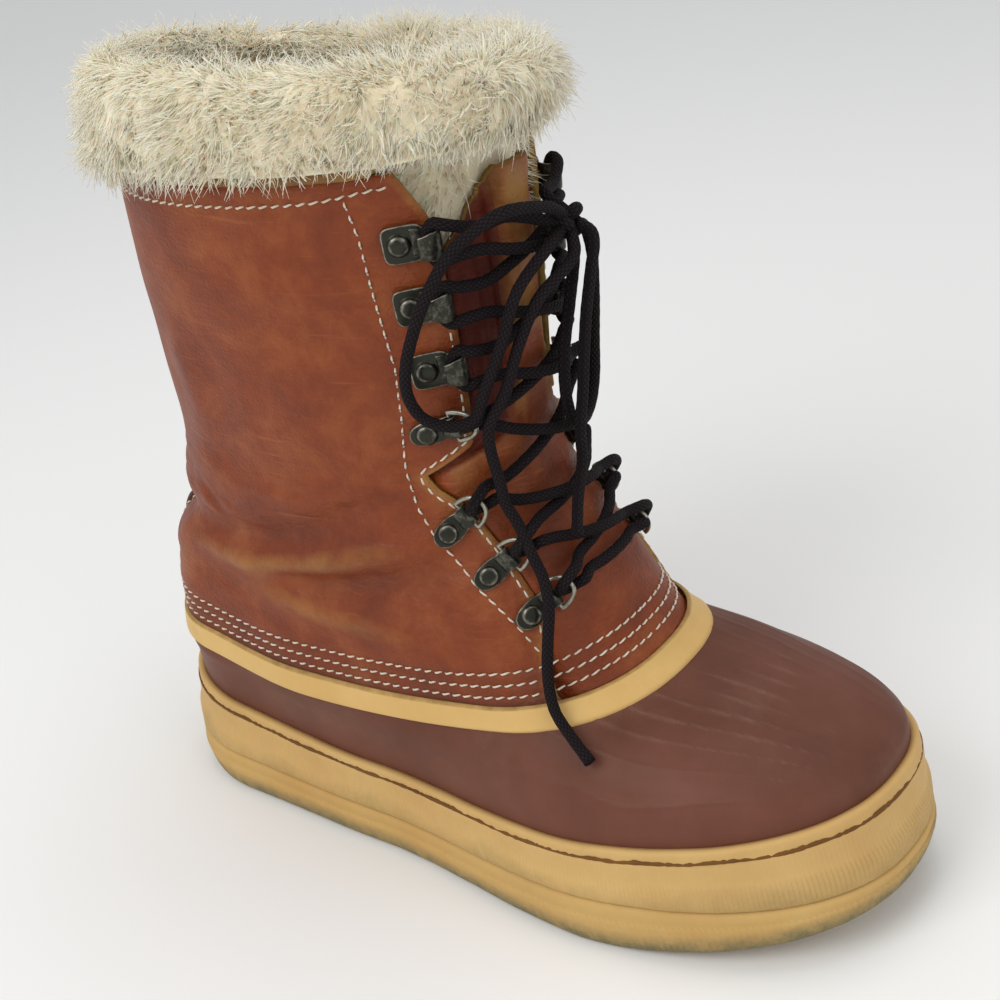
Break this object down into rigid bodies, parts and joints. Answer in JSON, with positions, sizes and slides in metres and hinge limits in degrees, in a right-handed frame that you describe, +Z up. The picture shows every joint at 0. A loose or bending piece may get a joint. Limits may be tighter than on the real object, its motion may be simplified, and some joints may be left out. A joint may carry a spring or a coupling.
{
  "type": "pac boot",
  "caption": "Tall laced winter boot: leather shaft on a moulded rubber shoe with pale foxing and band, speed hooks, ring clips, and a liner whose pile cuff stands above the collar.",
  "frame": {"origin": "on the floor under the middle of the boot's length and width", "axes": "+X towards the toe, +Y towards the wearer's left (the inner side of this right boot), +Z up"},
  "size_m": [0.32, 0.1503, 0.3133],
  "materials": {
    "outsole_rubber": "moulded pale crepe rubber, dirty at the ground edge",
    "foxing_rubber": "matte tan rubber with a brown line",
    "band_rubber": "smooth pale tan rubber strip",
    "shell_rubber": "matte brown moulded rubber",
    "upper_leather": "worn oiled cowhide, red brown",
    "strip_leather": "darker leather strip",
    "binding_leather": "rolled tan leather binding",
    "tongue_leather": "soft worn leather",
    "pile": "deep cream pile",
    "felt": "grey pressed wool felt",
    "gunmetal": "worn blackened steel",
    "lace_cord": "braided dark brown cord"
  },
  "bodies": {
    "root": {"backstay": "strip_leather", "collar_binding": "binding_leather", "fleece_cuff": "pile", "foxing": "foxing_rubber", "insole": "felt", "lace_bar_bottom": "lace_cord", "lace_bar_top": "lace_cord", "lace_crossing_1": "lace_cord", "lace_crossing_2": "lace_cord", "lace_crossing_3": "lace_cord", "lace_crossing_4": "lace_cord", "lace_crossing_5": "lace_cord", "lace_crossing_6": "lace_cord", "lace_end_inner": "lace_cord", "lace_end_outer": "lace_cord", "lace_knot": "lace_cord", "lace_loop_inner": "lace_cord", "lace_loop_outer": "lace_cord", "leather_upper": "upper_leather", "outsole": "outsole_rubber", "ring_clip_4_inner": "gunmetal", "ring_clip_4_outer": "gunmetal", "ring_clip_5_inner": "gunmetal", "ring_clip_5_outer": "gunmetal", "ring_clip_6_inner": "gunmetal", "ring_clip_6_outer": "gunmetal", "ring_clip_7_inner": "gunmetal", "ring_clip_7_outer": "gunmetal", "rubber_shell": "shell_rubber", "speed_hook_1_inner": "gunmetal", "speed_hook_1_outer": "gunmetal", "speed_hook_2_inner": "gunmetal", "speed_hook_2_outer": "gunmetal", "speed_hook_3_inner": "gunmetal", "speed_hook_3_outer": "gunmetal", "tongue": "tongue_leather", "top_band": "band_rubber"}
  },
  "joints": []
}
